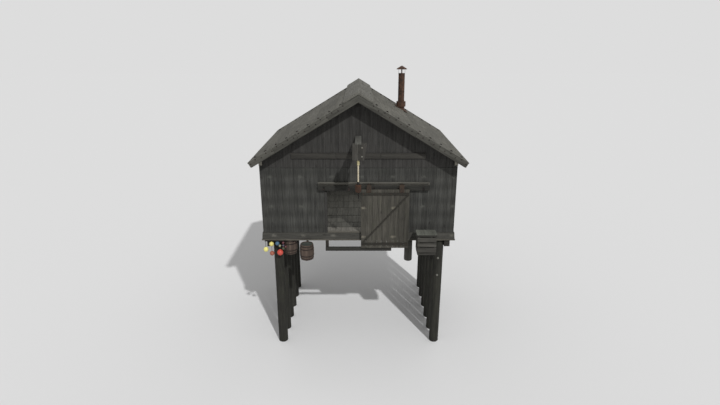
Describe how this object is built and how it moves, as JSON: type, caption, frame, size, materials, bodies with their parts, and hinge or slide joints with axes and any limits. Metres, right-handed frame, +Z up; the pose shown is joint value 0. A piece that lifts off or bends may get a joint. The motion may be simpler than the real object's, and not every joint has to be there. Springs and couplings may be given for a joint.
{
  "type": "fisherman house on piles",
  "caption": "Boarded fishing store on round piles with a lapped board roof, a sliding front door, a gable rope hoist, a stove pipe and gear hung along its front sill.",
  "frame": {"origin": "on the ground, below the middle of the house's width and of its length from the hoist block to the rear barge boards", "axes": "+Z up, +X to the right when facing the door, +Y from the front gable to the back"},
  "size_m": [8.75, 8.85, 12.0225],
  "materials": {
    "pile_wood": "wet weathered",
    "frame_wood": "weathered",
    "deck_wood": "worn boards",
    "skirt_wood": "weathered",
    "wall_wood": "weathered boards",
    "roof_wood": "weathered boards",
    "cap_wood": "weathered boards",
    "frame_dark": "tarred",
    "leaf_wood": "weathered boards",
    "bar_wood": "tarred",
    "rusty_iron": "rusty",
    "hoist_wood": "weathered",
    "dark_iron": "dull",
    "rope": "twisted fibre",
    "pipe_rust": "rusty",
    "crate_wood": "weathered boards",
    "keg_wood": "weathered staves",
    "float_paint": "worn paint"
  },
  "bodies": {
    "house": {"piles_left": "pile_wood", "piles_right": "pile_wood", "side_beams": "frame_wood", "floor_joists": "frame_wood", "floor_deck": "deck_wood", "end_skirts": "skirt_wood", "side_skirts": "skirt_wood", "front_wall_left": "wall_wood", "front_wall_right": "wall_wood", "front_wall_over_door": "wall_wood", "front_gable": "wall_wood", "back_wall": "wall_wood", "back_gable": "wall_wood", "left_wall": "wall_wood", "right_wall": "wall_wood", "gable_ledgers": "wall_wood", "wall_plates": "frame_wood", "ridge_beam": "frame_wood", "rafters_left": "frame_wood", "rafters_right": "frame_wood", "roof_left": "roof_wood", "roof_right": "roof_wood", "ridge_cap_left": "cap_wood", "ridge_cap_right": "cap_wood", "barge_boards_left": "roof_wood", "barge_boards_right": "roof_wood", "door_jambs": "frame_dark", "door_head": "frame_dark", "door_sill": "deck_wood", "door_track": "frame_dark", "track_cover": "cap_wood", "guide_rail": "frame_dark", "guide_hangers": "frame_dark", "hoist_beam": "hoist_wood", "hoist_block": "hoist_wood", "hoist_sheave": "dark_iron", "hoist_rope": "rope", "hook_weight": "rusty_iron", "hoist_hook": "dark_iron", "stove_pipe": "pipe_rust", "pipe_collar": "pipe_rust", "pipe_hat": "pipe_rust", "crate": "crate_wood", "kegs": "keg_wood", "gear_brackets": "dark_iron", "fender_post": "pile_wood", "net_floats": "float_paint", "float_rack": "dark_iron"},
    "door": {"door_leaf": "leaf_wood", "door_bars": "bar_wood", "door_brace": "bar_wood", "door_hangers": "rusty_iron", "door_rollers": "rusty_iron"}
  },
  "joints": [
    {"name": "door_slide", "type": "slide", "parent": "house", "child": "door", "axis": [1, 0, 0], "range_m": [-1.5, 0.7]}
  ]
}
